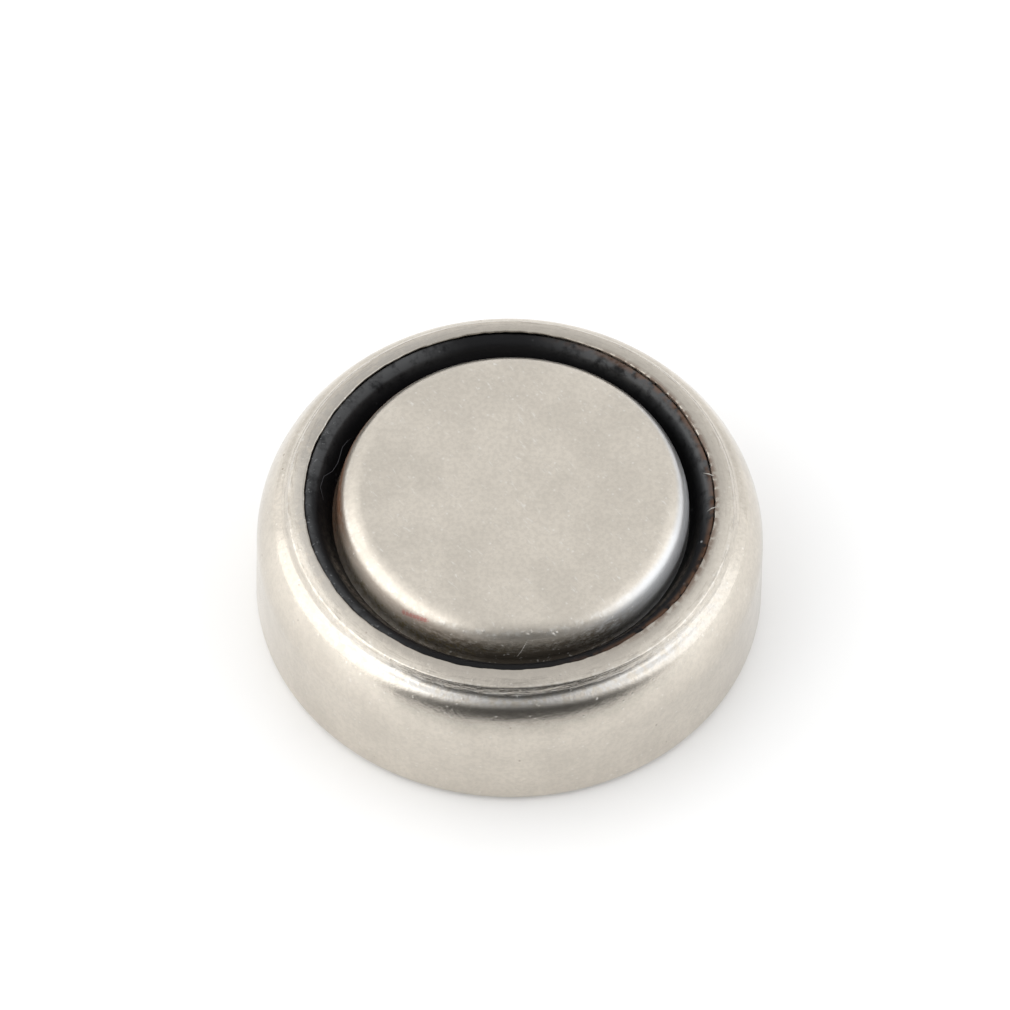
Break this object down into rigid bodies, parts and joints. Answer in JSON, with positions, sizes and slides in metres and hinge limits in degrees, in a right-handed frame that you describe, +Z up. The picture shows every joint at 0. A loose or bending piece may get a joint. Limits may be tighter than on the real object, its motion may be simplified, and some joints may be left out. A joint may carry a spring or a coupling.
{
  "type": "alkaline button cell",
  "caption": "Round alkaline button cell: a crimped nickel-plated can, a black sealing gasket and a raised folded cap, with its electrodes and separators inside.",
  "frame": {"origin": "centre of the flat outer face of the positive can, on the surface that the cell stands on", "axes": "+Z up along the cell's axis, from the positive face to the negative face; X and Y across it, with -Y towards the front"},
  "size_m": [0.0116, 0.0116, 0.0041],
  "materials": {
    "can_nickel": "satin nickel plate on deep-drawn steel, fine speckle, light handling marks",
    "cap_nickel": "satin nickel-clad steel sheet, fine speckle",
    "gasket_nylon": "black nylon, uneven where the crimp squeezed it",
    "cathode_mix": "pressed powder, matt black",
    "ring_steel": "plain nickel-plated steel",
    "barrier_cellophane": "thin wet film",
    "pad_fibre": "wet non-woven fibre",
    "zinc_gel": "grey zinc paste"
  },
  "bodies": {
    "root": {"positive_can": "can_nickel", "negative_cap": "cap_nickel", "sealing_gasket": "gasket_nylon", "cathode_pellet": "cathode_mix", "cathode_ring": "ring_steel", "barrier_film": "barrier_cellophane", "absorbent_pad": "pad_fibre", "anode_gel": "zinc_gel"}
  },
  "joints": []
}
